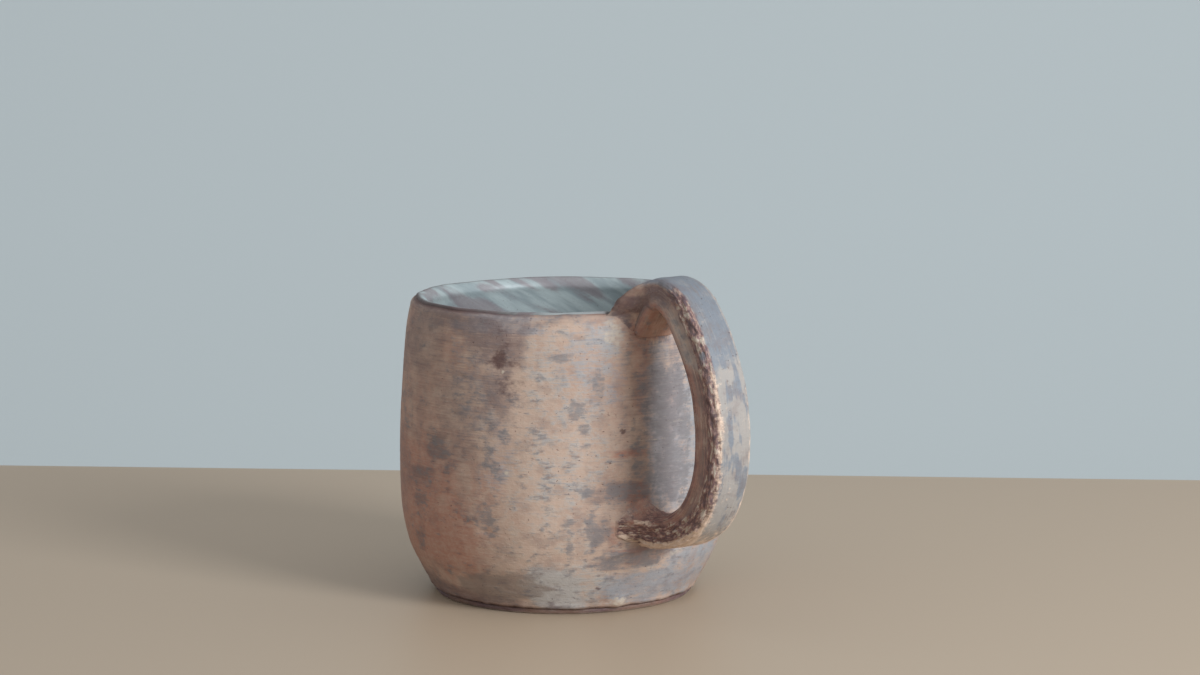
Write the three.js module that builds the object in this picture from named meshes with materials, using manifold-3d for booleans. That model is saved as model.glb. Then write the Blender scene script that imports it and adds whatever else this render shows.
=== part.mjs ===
// A hand-built ceramic mug: a swelling wall on a thin base slab, a strap handle that is
// luted to the rim and to the lower body, and a glassy glaze that lines the inside.
// Millimetres, +Z up. The origin is the centre of the resting face and the handle is on +X.

import * as THREE from "three";
import { mergeVertices } from "three/addons/utils/BufferGeometryUtils.js";
import Module from "manifold-3d";

const wasm = await Module();
wasm.setup();

// Driving dimensions.
const RIM_HEIGHT = 90;              // top of the glazed lip above the table
const AROUND = 48;                  // facets around the body
const JOINT_GAP = 0.3;              // clearance where one clay piece is trimmed to another

const SLAB_TOP = 5;                 // thickness of the base slab
const SLAB_EDGE_RADIUS = 39.3;      // the slab's bare edge, seen as a band under the wall
const SLAB_EDGE_HEIGHT = 1.9;       // top of that band, where the wall's foot begins
const SLAB_EASE = 0.7;              // worn corner of the resting face

const FOOT = [39.9, SLAB_EDGE_HEIGHT];    // outside of the wall, [radius, height]
const HEEL = [43.9, 9];
const HAUNCH = [47.2, 16.5];
const BELLY = [49.4, 29];
const WAIST = [49.5, 50];
const SHOULDER = [48.5, 70];
const NECK = [47.5, 81];
const WALL_STEPS = 11;              // straight stretches up the outside of the wall
const FOOT_THICKNESS = 5.2;         // wall thickness at the foot
const NECK_THICKNESS = 4.3;         // wall thickness just under the lip

const LIP_CENTRE_RADIUS = 44.0;     // middle of the rounded lip
const LIP_ROUND = 2.3;              // radius of the clay lip
const LIP_STEPS = 6;
const GLAZE_THICKNESS = 0.7;
const GLAZE_OVERLAP_ANGLE = THREE.MathUtils.degToRad(76);   // the glaze's edge on the lip, 0 is level
const LIP_POINT_SPACING = 0.1;      // least angle between the glaze's edge and the next clay point
const LIP_CENTRE_HEIGHT = RIM_HEIGHT - GLAZE_THICKNESS - LIP_ROUND;
const GLAZE_EDGE_RADIUS = LIP_CENTRE_RADIUS
  + (LIP_ROUND + GLAZE_THICKNESS) * Math.cos(GLAZE_OVERLAP_ANGLE);
const MOUTH_RADIUS = GLAZE_EDGE_RADIUS + JOINT_GAP;   // the handle stays outside this

const FACE_START = SLAB_TOP + 1;    // heights between which the inside face follows the outside
const FACE_END = LIP_CENTRE_HEIGHT - 2;

const COIL_FLOOR_REACH = 5.5;       // how far the corner coil runs over the floor
const COIL_STEPS = 3;
const COIL_HOLLOW = 0.55;           // how deep its face is pressed in, 0 flat to 1 square

const STRAP_WIDTH = 12.8;           // handle strap, along Y
const STRAP_THICKNESS = 10.6;       // handle strap, across its run
const STRAP_THIN = 8.8;             // thickness at the two ends of the strap
const STRAP_TAPER = [0.08, 0.3];    // the ends thin out between these fractions of the route
const STRAP_CORNER = 3.4;           // rounded edges of the strap
const STRAP_CORNER_STEPS = 3;
const STRAP_STEPS = 36;
const HANDLE_ROUTE = [              // middle of the strap, [distance from the axis, height]
  [43.0, 84.0],
  [47.2, 90.0],
  [52.0, 94.9],
  [57.6, 95.9],
  [64.6, 92.3],
  [71.4, 84.4],
  [77.0, 74.0],
  [79.9, 62.8],
  [80.3, 52.5],
  [78.4, 43.0],
  [73.2, 34.2],
  [65.0, 28.5],
  [55.0, 25.8],
  [42.0, 24.4],
];

// Clay worked around each end of the strap: a trumpet that starts as a wide patch on the body
// and thins to a collar on the strap. bodyEnd and strapEnd are fractions of the handle's route,
// and drop is how far the patch's middle lies below the strap's.
const UPPER_WELD = { bodyEnd: 0.01, strapEnd: 0.12, width: 29, tall: 14.5, drop: 1.6 };
const LOWER_WELD = { bodyEnd: 0.965, strapEnd: 0.885, width: 25, tall: 14.5, drop: -1.0 };
const WELD_EDGE = 0.8;              // thickness of a weld where it ends on the strap
const WELD_CORNER = 0.48;           // corner of the patch as a share of its height, 0.5 is round
const WELD_FLARE = 1.7;             // 1 is a straight cone, more is a sharper trumpet
const WELD_STEPS = 6;
const MOUTH_TOP = 115;              // height of the clear space over the mouth
const MERGE_DISTANCE = 1e-4;        // points nearer than this are one point

const COLOURS = {
  base: 0x9c7563,
  wall: 0xbd9f8a,
  coil: 0xb58a72,
  strap: 0xb6aca6,
  upper: 0x8f7b78,
  lower: 0xa0745d,
  glaze: 0xa3b3b0,
};

// Outlines, as lists of Vector2(radius, height).

function outsideOutline() {
  const lipStart = [LIP_CENTRE_RADIUS + LIP_ROUND, LIP_CENTRE_HEIGHT];
  const stations = [FOOT, HEEL, HAUNCH, BELLY, WAIST, SHOULDER, NECK, lipStart];
  const curve = new THREE.SplineCurve(stations.map(([r, z]) => new THREE.Vector2(r, z)));
  return curve.getSpacedPoints(WALL_STEPS);
}

// Moves each point sideways from its line's direction; distance may be a function of height.
function offsetOutline(points, distance) {
  return points.map((point, i) => {
    const before = points[Math.max(i - 1, 0)];
    const after = points[Math.min(i + 1, points.length - 1)];
    const along = after.clone().sub(before).normalize();
    const amount = typeof distance === "function" ? distance(point.y) : distance;
    return new THREE.Vector2(point.x - along.y * amount, point.y + along.x * amount);
  });
}

function wallThickness(height) {
  return THREE.MathUtils.mapLinear(height, 0, LIP_CENTRE_HEIGHT, FOOT_THICKNESS, NECK_THICKNESS);
}

// Inside face of the wall, from the slab's top corner to the lip.
function insideOutline(outside) {
  const shifted = offsetOutline(outside, wallThickness);
  const above = shifted.filter((point) => point.y > FACE_START && point.y < FACE_END);
  const below = shifted.filter((point) => point.y <= FACE_START).at(-1);
  const t = (SLAB_TOP - below.y) / (above[0].y - below.y);
  const corner = new THREE.Vector2(THREE.MathUtils.lerp(below.x, above[0].x, t), SLAB_TOP);
  return [corner, ...above];
}

// Arc over the lip from its outside to its inside, at a given radius.
function lipArc(radius, fromAngle) {
  const points = [];
  for (let i = 0; i <= LIP_STEPS; i++) {
    const angle = THREE.MathUtils.lerp(fromAngle, Math.PI, i / LIP_STEPS);
    points.push(new THREE.Vector2(
      LIP_CENTRE_RADIUS + radius * Math.cos(angle),
      LIP_CENTRE_HEIGHT + radius * Math.sin(angle),
    ));
  }
  return points;
}

// Pressed-in face of the corner coil, from the floor up to the wall.
function coilFace(corner, wallPoint) {
  const foot = new THREE.Vector2(corner.x - COIL_FLOOR_REACH, SLAB_TOP);
  const middle = foot.clone().add(wallPoint).multiplyScalar(0.5);
  const control = middle.clone().lerp(corner, COIL_HOLLOW);
  return new THREE.QuadraticBezierCurve(foot, control, wallPoint).getPoints(COIL_STEPS);
}

const outside = outsideOutline();
const inside = insideOutline(outside);
const clayLip = lipArc(LIP_ROUND, 0);
const glazedLip = lipArc(LIP_ROUND, GLAZE_OVERLAP_ANGLE);
const coil = coilFace(inside[0], inside[1]);

// Solids of revolution.

function revolve(outline) {
  const geometry = new THREE.LatheGeometry(outline, AROUND);
  return geometry.rotateX(Math.PI / 2);
}

function baseSlab() {
  return revolve([
    new THREE.Vector2(0, 0),
    new THREE.Vector2(SLAB_EDGE_RADIUS - SLAB_EASE, 0),
    new THREE.Vector2(SLAB_EDGE_RADIUS, SLAB_EASE),
    new THREE.Vector2(SLAB_EDGE_RADIUS, SLAB_EDGE_HEIGHT),
    new THREE.Vector2(inside[0].x, SLAB_EDGE_HEIGHT),
    inside[0],
    new THREE.Vector2(0, SLAB_TOP),
  ]);
}

function bodyWall() {
  const slabSide = new THREE.Vector2(inside[0].x, SLAB_EDGE_HEIGHT);
  const overLip = [...glazedLipStart(), ...glazedLip];
  return revolve([slabSide, ...outside, ...overLip, ...inside.toReversed(), slabSide.clone()]);
}

// The clay lip's outside, below the edge of the glaze.
function glazedLipStart() {
  return clayLip.filter((_, i) => {
    const angle = (Math.PI * i) / LIP_STEPS;
    return angle > 0 && angle < GLAZE_OVERLAP_ANGLE - LIP_POINT_SPACING;
  });
}

function floorSeamCoil() {
  return revolve([coil[0], inside[0], inside[1], ...coil.slice(1, -1).toReversed(), coil[0].clone()]);
}

function interiorGlaze() {
  const floorCentre = new THREE.Vector2(0, SLAB_TOP);
  const clayFace = [...coil, ...inside.slice(2), ...glazedLip.toReversed()];
  const freeFace = offsetOutline(clayFace, GLAZE_THICKNESS);
  freeFace[0].y = SLAB_TOP + GLAZE_THICKNESS;
  const floorTop = new THREE.Vector2(0, SLAB_TOP + GLAZE_THICKNESS);
  return revolve([floorCentre, ...clayFace, ...freeFace.toReversed(), floorTop]);
}

// Handle.

const route = new THREE.CatmullRomCurve3(
  HANDLE_ROUTE.map(([x, z]) => new THREE.Vector3(x, 0, z)),
);

function strapThickness(t) {
  const fullness = THREE.MathUtils.smoothstep(Math.min(t, 1 - t), ...STRAP_TAPER);
  return THREE.MathUtils.lerp(STRAP_THIN, STRAP_THICKNESS, fullness);
}

// One rounded-rectangle ring of points in the plane across a direction in XZ.
function crossRing(centre, along, width, thickness, corner) {
  const outward = new THREE.Vector3(-along.z, 0, along.x);
  const ring = [];
  for (let quarter = 0; quarter < 4; quarter++) {
    const signY = quarter === 0 || quarter === 3 ? 1 : -1;
    const signOut = quarter < 2 ? 1 : -1;
    for (let i = 0; i <= STRAP_CORNER_STEPS; i++) {
      const angle = (Math.PI / 2) * (quarter + i / STRAP_CORNER_STEPS);
      const y = signY * (width / 2 - corner) + corner * Math.cos(angle);
      const out = signOut * (thickness / 2 - corner) + corner * Math.sin(angle);
      ring.push(centre.clone().addScaledVector(outward, out).setY(y));
    }
  }
  return ring;
}

// Closed skin over a row of rings, with a fan across each end.
function loft(rings) {
  const count = rings[0].length;
  const points = rings.flat();
  const triangles = [];
  for (let j = 0; j + 1 < rings.length; j++) {
    for (let i = 0; i < count; i++) {
      const a = j * count + i;
      const b = j * count + ((i + 1) % count);
      triangles.push(a, b, a + count, b, b + count, a + count);
    }
  }
  const ends = [rings[0], rings.at(-1)];
  ends.forEach((ring, end) => {
    const middle = ring.reduce((sum, point) => sum.add(point), new THREE.Vector3());
    points.push(middle.divideScalar(count));
    const start = end * (rings.length - 1) * count;
    for (let i = 0; i < count; i++) {
      const a = start + i;
      const b = start + ((i + 1) % count);
      triangles.push(...(end ? [a, b, points.length - 1] : [b, a, points.length - 1]));
    }
  });
  const geometry = new THREE.BufferGeometry().setFromPoints(points);
  geometry.setIndex(triangles);
  return geometry;
}

function strapLoft(grow) {
  const rings = [];
  for (let j = 0; j <= STRAP_STEPS; j++) {
    const t = j / STRAP_STEPS;
    const width = STRAP_WIDTH + 2 * grow;
    const thickness = strapThickness(t) + 2 * grow;
    rings.push(crossRing(route.getPointAt(t), route.getTangentAt(t), width, thickness, STRAP_CORNER));
  }
  return loft(rings);
}

// A trumpet that is wide at the body and thins out onto the strap.
function weldLoft(weld) {
  const away = weld.strapEnd < weld.bodyEnd ? -1 : 1;
  const level = new THREE.Vector3(1, 0, 0);
  const endWidth = STRAP_WIDTH + 2 * WELD_EDGE;
  const rings = [];
  for (let j = 0; j <= WELD_STEPS; j++) {
    const fraction = j / WELD_STEPS;
    const flare = (1 - fraction) ** WELD_FLARE;
    const t = THREE.MathUtils.lerp(weld.bodyEnd, weld.strapEnd, fraction);
    const centre = route.getPointAt(t);
    centre.z -= weld.drop * flare;
    const along = route.getTangentAt(t).multiplyScalar(away).lerp(level, flare).normalize();
    const width = THREE.MathUtils.lerp(endWidth, weld.width, flare);
    const endThickness = strapThickness(t) + 2 * WELD_EDGE;
    const thickness = THREE.MathUtils.lerp(endThickness, weld.tall, flare);
    const corner = THREE.MathUtils.lerp(STRAP_CORNER, weld.tall * WELD_CORNER, flare);
    rings.push(crossRing(centre, along, width, thickness, corner));
  }
  return loft(rings);
}

// Everything that the handle must stay out of: the filled body and the open mouth.
function keepOut() {
  const skin = [...outside, ...clayLip.slice(1, LIP_STEPS / 2)];
  const grown = offsetOutline(skin, -JOINT_GAP).filter((point) => point.x > MOUTH_RADIUS);
  return revolve([
    new THREE.Vector2(0, 0),
    new THREE.Vector2(grown[0].x, 0),
    ...grown,
    new THREE.Vector2(MOUTH_RADIUS, RIM_HEIGHT + JOINT_GAP),
    new THREE.Vector2(MOUTH_RADIUS, MOUTH_TOP),
    new THREE.Vector2(0, MOUTH_TOP),
  ]);
}

// Joining and cutting.

function toSolid(geometry) {
  const bare = geometry.clone();
  bare.deleteAttribute("normal");
  bare.deleteAttribute("uv");
  const merged = mergeVertices(bare, MERGE_DISTANCE);
  const index = merged.index.array;
  const triangles = [];
  for (let i = 0; i < index.length; i += 3) {
    const [a, b, c] = index.slice(i, i + 3);
    if (a !== b && b !== c && c !== a) triangles.push(a, b, c);
  }
  return new wasm.Manifold(new wasm.Mesh({
    numProp: 3,
    vertProperties: new Float32Array(merged.attributes.position.array),
    triVerts: new Uint32Array(triangles),
  }));
}

function toGeometry(solid) {
  const mesh = solid.getMesh();
  const geometry = new THREE.BufferGeometry();
  geometry.setAttribute("position", new THREE.BufferAttribute(mesh.vertProperties, 3));
  geometry.setIndex(new THREE.BufferAttribute(mesh.triVerts, 1));
  return geometry;
}

const keepOutSolid = toSolid(keepOut());
const strapHole = toSolid(strapLoft(JOINT_GAP));

function handleStrap() {
  return toGeometry(toSolid(strapLoft(0)).subtract(keepOutSolid));
}

function handleWeld(weld) {
  return toGeometry(toSolid(weldLoft(weld)).subtract(strapHole).subtract(keepOutSolid));
}

// The mug, one named mesh for each piece.

function piece(name, geometry, colour, roughness) {
  geometry.computeVertexNormals();
  const material = new THREE.MeshStandardMaterial({ color: colour, roughness, metalness: 0 });
  const mesh = new THREE.Mesh(geometry, material);
  mesh.name = name;
  return mesh;
}

const CLAY_ROUGHNESS = 0.75;
const GLAZE_ROUGHNESS = 0.2;

const mug = new THREE.Group();
mug.add(
  piece("base_slab", baseSlab(), COLOURS.base, CLAY_ROUGHNESS),
  piece("body_wall", bodyWall(), COLOURS.wall, CLAY_ROUGHNESS),
  piece("floor_seam_coil", floorSeamCoil(), COLOURS.coil, CLAY_ROUGHNESS),
  piece("interior_glaze", interiorGlaze(), COLOURS.glaze, GLAZE_ROUGHNESS),
  piece("handle_strap", handleStrap(), COLOURS.strap, CLAY_ROUGHNESS),
  piece("upper_handle_weld", handleWeld(UPPER_WELD), COLOURS.upper, CLAY_ROUGHNESS),
  piece("lower_handle_weld", handleWeld(LOWER_WELD), COLOURS.lower, CLAY_ROUGHNESS),
);

export default mug;
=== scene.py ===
"""A hand-built ceramic mug on a plain pale table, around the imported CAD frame.

The visible clay is rebuilt from the same outlines as the CAD pieces, in fine meshes that carry the
wobble, seams, smears and burrs of handwork. Surface masks are painted per vertex from the shapes
themselves, and node materials break them up. Lengths are in millimetres until a mesh is made.
"""
import math

import bpy
import numpy as np
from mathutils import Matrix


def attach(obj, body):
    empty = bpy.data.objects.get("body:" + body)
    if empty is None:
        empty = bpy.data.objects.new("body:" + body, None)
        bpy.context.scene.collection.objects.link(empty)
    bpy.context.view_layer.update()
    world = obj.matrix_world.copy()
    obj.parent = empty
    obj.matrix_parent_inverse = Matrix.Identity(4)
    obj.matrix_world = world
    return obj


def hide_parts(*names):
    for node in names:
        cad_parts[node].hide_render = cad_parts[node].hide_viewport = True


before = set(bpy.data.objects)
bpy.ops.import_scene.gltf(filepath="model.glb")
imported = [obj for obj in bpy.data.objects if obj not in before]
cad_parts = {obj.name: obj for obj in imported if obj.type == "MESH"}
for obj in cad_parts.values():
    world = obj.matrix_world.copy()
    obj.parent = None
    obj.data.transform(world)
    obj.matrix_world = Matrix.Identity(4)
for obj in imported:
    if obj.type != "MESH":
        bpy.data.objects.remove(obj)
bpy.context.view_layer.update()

MM = 0.001

# ---- driving dimensions
SLAB_TOP = 5.0
SLAB_EDGE_RADIUS = 39.3
SEAM_HEIGHT = 1.9                 # between the base slab and the wall's foot
FOOT_RADIUS = 39.9                # of the wall, where it stands on the slab
OUTSIDE = [
    (FOOT_RADIUS, SEAM_HEIGHT), (43.9, 9.0), (47.2, 16.5), (49.4, 29.0), (49.5, 50.0), (48.5, 70.0),
    (47.5, 81.0),
]
LIP_RADIUS = 44.0                 # middle of the rounded lip
LIP_HEIGHT = 87.0
LIP_ROUND = 2.3
GLAZE = 0.7                       # thickness of the glaze
FOOT_WALL, NECK_WALL = 5.2, 4.3   # wall thickness low and high
COIL_REACH = 5.5                  # of the seam's coil, over the slab
COIL_TOP = 11.1
SUNK = 0.02                       # keeps hidden faces of neighbours apart

STRAP_WIDTH = 12.8
STRAP_THICK = 10.6                # in the middle of the strap
STRAP_THIN = 8.8                  # at its ends
ROUTE = [
    (43.0, 84.0), (47.2, 90.0), (52.0, 94.9), (57.6, 95.9), (64.6, 92.3), (71.4, 84.4), (77.0, 74.0),
    (79.9, 62.8), (80.3, 52.5), (78.4, 43.0), (73.2, 34.2), (65.0, 28.5), (55.0, 25.8), (42.0, 24.4),
]

BODY_ARC_RADIUS = 48.0            # stands for the body's radius where only a direction is needed
AROUND = 480                      # columns around the body
AROUND_STRAP = 144                # columns around the strap
STRAP_RINGS = 420
WELD_RINGS = 60


# ---- small maths
def ease(low, high, value):
    """0 up to low, 1 from high on, and smooth between; low may be the larger."""
    x = np.clip((value - low) / (high - low), 0.0, 1.0)
    return x * x * (3.0 - 2.0 * x)


def lattice(cell, seed):
    """A fixed pseudo-random number in -1..1 for each whole-number point."""
    x, y, z = cell[..., 0], cell[..., 1], cell[..., 2]
    n = (x * 374761393 + y * 668265263 + z * 1440670441 + seed * 974711) & 0xFFFFFFFF
    n = ((n ^ (n >> 13)) * 1274126177) & 0xFFFFFFFF
    n = n ^ (n >> 16)
    return n / 2147483647.5 - 1.0


def noise(points, size, seed, octaves=1):
    """Smooth noise in about -1..1, with features of the given size in mm along X, Y and Z.

    Each seed gives its own fixed pattern.
    """
    total, weight = 0.0, 1.0
    p = points / np.asarray(size, float)
    for octave in range(octaves):
        cell = np.floor(p).astype(np.int64)
        f = p - cell
        f = f * f * (3.0 - 2.0 * f)
        value = 0.0
        for corner in np.ndindex(2, 2, 2):
            near = np.abs(1 - np.array(corner) - f)
            share = near[..., 0] * near[..., 1] * near[..., 2]
            value = value + share * lattice(cell + np.array(corner), seed + octave)
        total = total + value * weight
        weight *= 0.5
        p = p * 2.03
    return total


def catmull_rom(stations, count):
    """Points of the smooth curve through the stations, evenly spaced along it."""
    p = np.asarray(stations, float)
    padded = np.vstack([p[0], p, p[-1]])
    fine = []
    for i in range(len(p) - 1):
        a, b, c, d = padded[i:i + 4]
        t = np.linspace(0, 1, 60, endpoint=False)[:, None]
        v0, v1 = (c - a) / 2, (d - b) / 2
        cubed = 2 * b - 2 * c + v0 + v1
        squared = -3 * b + 3 * c - 2 * v0 - v1
        fine.append(cubed * t ** 3 + squared * t ** 2 + v0 * t + b)
    fine = np.vstack(fine + [p[-1:]])
    return resample(fine, count)


def resample(points, count):
    """The same open polyline with evenly spaced points."""
    step = np.linalg.norm(np.diff(points, axis=0), axis=1)
    run = np.concatenate([[0], np.cumsum(step)])
    at = np.linspace(0, run[-1], count)
    return np.stack([np.interp(at, run, points[:, k]) for k in range(points.shape[1])], 1)


def offset_outline(points, distance):
    """Moves the points of a (radius, height) outline to the left of its direction."""
    along = np.gradient(points, axis=0)
    along /= np.linalg.norm(along, axis=1)[:, None]
    return points + np.stack([-along[:, 1], along[:, 0]], 1) * np.reshape(distance, (-1, 1))


def revolve(outline, around=AROUND):
    """Rings of points, one for each outline point: shape (outline, around, 3)."""
    angle = np.arange(around) * (2 * math.pi / around)
    r, z = outline[:, 0], outline[:, 1]
    x, y = r[:, None] * np.cos(angle), r[:, None] * np.sin(angle)
    return np.stack([x, y, np.repeat(z[:, None], around, 1)], -1)


def lathe_normals(rings):
    """Normals of rings that close around; they point outward where the outline runs upward."""
    along = np.gradient(rings, axis=0)
    around = np.roll(rings, -1, 1) - np.roll(rings, 1, 1)
    normal = np.cross(around, along)
    return normal / np.maximum(np.linalg.norm(normal, axis=-1), 1e-9)[..., None]


def ring_normals(rings):
    """The same, turned to point away from the rings' centres."""
    normal = lathe_normals(rings)
    centre = rings.mean(1, keepdims=True)
    if np.sum(normal * (rings - centre)) < 0:
        normal = -normal
    return normal


def azimuth(points):
    """Degrees around the axis, 0 at the middle of the handle."""
    return np.degrees(np.arctan2(points[..., 1], points[..., 0]))


# ---- meshes
def link(thing):
    bpy.context.scene.collection.objects.link(thing)


def skin(name, rings, masks, material):
    """A closed mesh over rings that close around, with a fan over each end, and its painted masks."""
    count, around, _ = rings.shape
    row = np.arange(count - 1)[:, None]
    col = np.arange(around)[None, :]
    after = (col + 1) % around
    below, above = row * around, (row + 1) * around
    quads = np.stack([below + col, below + after, above + after, above + col], -1)
    faces = quads.reshape(-1, 4).tolist()
    points = np.vstack([rings.reshape(-1, 3), rings[0].mean(0), rings[-1].mean(0)])
    first, last = count * around, count * around + 1
    tail = (count - 1) * around
    for i in range(around):
        j = (i + 1) % around
        faces.append([j, i, first])
        faces.append([tail + i, tail + j, last])
    q = quads.reshape(-1, 4)
    a, b, c, d = (points[q[:, k]] for k in range(4))
    volume = np.sum(np.cross(b - a, c - a) * a) + np.sum(np.cross(c - a, d - a) * a)
    if volume < 0:
        faces = [face[::-1] for face in faces]
    mesh = bpy.data.meshes.new(name)
    mesh.from_pydata((points * MM).tolist(), [], faces)
    mesh.polygons.foreach_set("use_smooth", [True] * len(mesh.polygons))
    for key, values in masks.items():
        flat = np.asarray(values, float)
        if flat.ndim == 3:
            store = mesh.attributes.new(key, "FLOAT_VECTOR", "POINT")
            flat = np.vstack([flat.reshape(-1, 3), flat[0].mean(0), flat[-1].mean(0)])
            store.data.foreach_set("vector", flat.ravel())
        else:
            store = mesh.attributes.new(key, "FLOAT", "POINT")
            caps = [flat[0].mean(), flat[-1].mean()]
            store.data.foreach_set("value", np.concatenate([flat.ravel(), caps]))
    mesh.update()
    piece = bpy.data.objects.new(name, mesh)
    link(piece)
    piece.data.materials.append(material)
    return piece


def stand_for(piece, node):
    """The piece takes the CAD node's place and rides on the mug."""
    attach(piece, "root")
    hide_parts(node)


# ---- the body's surface
def outside_outline(count):
    stations = OUTSIDE + [(LIP_RADIUS + LIP_ROUND, LIP_HEIGHT)]
    return catmull_rom(stations, count)


BODY = outside_outline(400)       # fine enough to look radii up in


def body_radius(z):
    """Outside radius of the clay at a height, lip included."""
    below = np.interp(z, BODY[:, 1], BODY[:, 0])
    over = LIP_RADIUS + np.sqrt(np.maximum(LIP_ROUND ** 2 - (z - LIP_HEIGHT) ** 2, 0.0))
    return np.where(z > LIP_HEIGHT, over, below)


def hand_wobble(points):
    """How far handwork pushes the clay out of round, in mm."""
    broad = 0.28 * noise(points, (34, 34, 26), 11) + 0.10 * noise(points, (11, 11, 9), 12)
    scraped = 0.035 * noise(points, (9, 9, 1.3), 13) + 0.03 * noise(points, (2.4, 2.4, 1.1), 14)
    return broad + scraped


def on_body(y, z):
    """Points on the smooth body at a sideways arc y from the handle's plane and a height z."""
    r = body_radius(z)
    turn = y / r
    return np.stack([r * np.cos(turn), r * np.sin(turn), z], -1)


def patch_place(points, az, z, half_width, half_height):
    """Places across and up a patch of the body, 0 at its middle and 1 at its edge."""
    turn = (azimuth(points) - az + 180.0) % 360.0 - 180.0
    across = np.radians(turn) * float(body_radius(z)) / half_width
    return across, (points[..., 2] - z) / half_height


def bumps(points, table):
    """Soft bumps and dents on the body: azimuth, height, half width, half height, rise in mm."""
    total = np.zeros(points.shape[:-1])
    for az, z, half_width, half_height, rise in table:
        across, up = patch_place(points, az, z, half_width, half_height)
        total += rise * np.exp(-(across ** 2 + up ** 2))
    return total


BODY_BUMPS = [
    (-11.5, 3.6, 2, 1.7, 0.95), (-57, 76, 3, 2.6, -0.22), (-12, 14.5, 9, 3, -0.25),
    (-30, 89, 9, 2.4, 0.16), (-70, 88, 8, 2.6, 0.20), (-14, 40, 5, 2.4, -0.18),
    (-61, 28, 2.6, 3.6, -0.14), (-84, 48, 5, 3.4, -0.14),
]


def body_relief(points):
    """Everything that moves the outside of the wall, besides the pits."""
    az, z = azimuth(points), points[..., 2]
    push = hand_wobble(points) + bumps(points, BODY_BUMPS)
    ridge_line = 19.4 + 0.09 * (az + 12) + 0.7 * noise(points, (4, 4, 4), 43)
    push += 0.45 * ease(13, 5, np.abs(az + 10)) * np.exp(-((z - ridge_line) / 0.8) ** 2)
    push += ease(4.2, 2.2, z) * (0.22 + 0.3 * noise(points, (3.2, 3.2, 8), 44, 2))
    return push


def pits(points, seed, count, z_range, radius_range, depth_range):
    """Small pin holes and gouges pressed into the outside of the body."""
    rng = np.random.default_rng(seed)
    depth = np.zeros(points.shape[:2])
    for _ in range(count):
        az = rng.uniform(-180, 180)
        z = rng.uniform(*z_range)
        radius = rng.uniform(*radius_range)
        deep = rng.uniform(*depth_range)
        stretch = rng.uniform(0.8, 2.6)
        centre = on_body(math.radians(az) * body_radius(z), z)
        rows = np.abs(points[:, 0, 2] - z) < radius * 3
        near = points[rows] - centre
        flat = np.linalg.norm(near[..., :2], axis=-1) / stretch
        distance = np.sqrt(flat ** 2 + near[..., 2] ** 2) / radius
        depth[rows] += deep * np.exp(-distance ** 2 * 1.6)
    return depth


def paint(points, patches, seed, softness, ragged=0.55):
    """The strongest of a list of ragged blocky patches at each point, 0 to 1."""
    total = np.zeros(points.shape[:-1])
    for i, (az, z, half_width, half_height, strength) in enumerate(patches):
        across, up = patch_place(points, az, z, half_width, half_height)
        near = (np.abs(across) < 2.4) & (np.abs(up) < 2.4)
        if not near.any():
            continue
        reach = (np.abs(across[near]) ** 2.6 + np.abs(up[near]) ** 2.6) ** (1 / 2.6)
        grain_size = (half_width * 0.7, half_width * 0.7, half_height * 0.5)
        warp = noise(points[near], grain_size, seed + i, 4)
        value = strength * ease(1 + softness, 1 - softness, reach + warp * ragged)
        total[near] = np.maximum(total[near], value)
    return total


# Patches of surface colour: azimuth, height, half width, half height, strength.
# Thicker blue-grey slip left in the scrapes. The patches at azimuths -6 to 11 and heights 43 to 62 are
# painted shadow of the strap over some real slip, widening its cast shadow on the wall. The two at height 17
# are painted shadow under the lower root.
SLIP_AND_SHADOW_PATCHES = [
    (-82, 49, 5, 4, 0.55), (-91, 39.5, 5.6, 2.6, 0.5), (-92, 32, 4.2, 2.4, 0.4),
    (-70, 63.5, 8, 2.8, 0.6), (-97, 19, 2.4, 3.6, 0.4), (-60.5, 50, 1.8, 6.5, 0.85),
    (-58, 45, 1.4, 2.4, 0.8), (-61, 29, 3, 4.6, 1), (-57, 35, 2.2, 2, 0.6), (-54, 54, 2, 2.6, 0.85),
    (-48, 40, 1.3, 1.2, 0.7), (-57, 21, 2.6, 1.4, 0.5), (-34, 77, 3.6, 1.5, 0.9),
    (-37, 73.6, 1.6, 0.8, 0.7), (-22, 69, 1.5, 4.2, 0.9), (-30, 62, 2.4, 2.6, 1),
    (-36, 64.5, 2.2, 1, 0.6), (-28, 56.5, 1.8, 1.8, 0.8), (-27, 51, 2, 1.2, 0.5),
    (-26, 38.5, 3, 1.4, 0.85), (-33, 28, 2.6, 2.4, 0.7), (-22.5, 26, 3.8, 6.4, 1),
    (-32, 20, 1.2, 3.2, 0.7), (-33, 14.5, 1.8, 1.8, 0.7), (-14, 38, 7, 3.2, 1),
    (-18, 17, 5.6, 2.6, 0.95), (-4, 17, 8.5, 2.6, 0.9), (-52, 66, 2, 4, 0.5),
    (-44, 57, 2.4, 1.4, 0.5), (-40, 33, 1.6, 2.6, 0.5), (5, 44, 5, 9, 0.7), (4, 62, 5.6, 14, 1),
    (4, 44, 7, 10, 1), (-6, 62, 4, 14, 0.5), (11, 54, 4, 24, 0.9), (-5, 43, 4, 5, 0.8),
    (-108, 60, 4, 8, 0.5), (-44, 18, 2, 2, 0.4), (24, 62, 6, 7, 0.6), (36, 40, 5, 9, 0.7),
    (50, 66, 7, 3, 0.7), (66, 52, 3.2, 6, 0.8), (78, 33, 5, 4, 0.8), (92, 66, 8, 3, 0.8),
    (108, 47, 3.2, 6.5, 0.9), (121, 27, 5, 3.6, 0.8), (133, 62, 7, 3, 0.8), (150, 43, 3.4, 7, 0.9),
    (161, 74, 5, 2, 0.8), (173, 30, 5.6, 3.4, 0.7), (-170, 57, 4.4, 3.6, 0.9),
    (-153, 41, 5.6, 4.4, 0.8), (-146, 69, 6, 2.4, 0.7), (-131, 27, 4.4, 4, 0.7),
    (-124, 60, 2.8, 5.4, 0.7), (-119, 44, 4.4, 2.6, 0.8),
]
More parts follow.
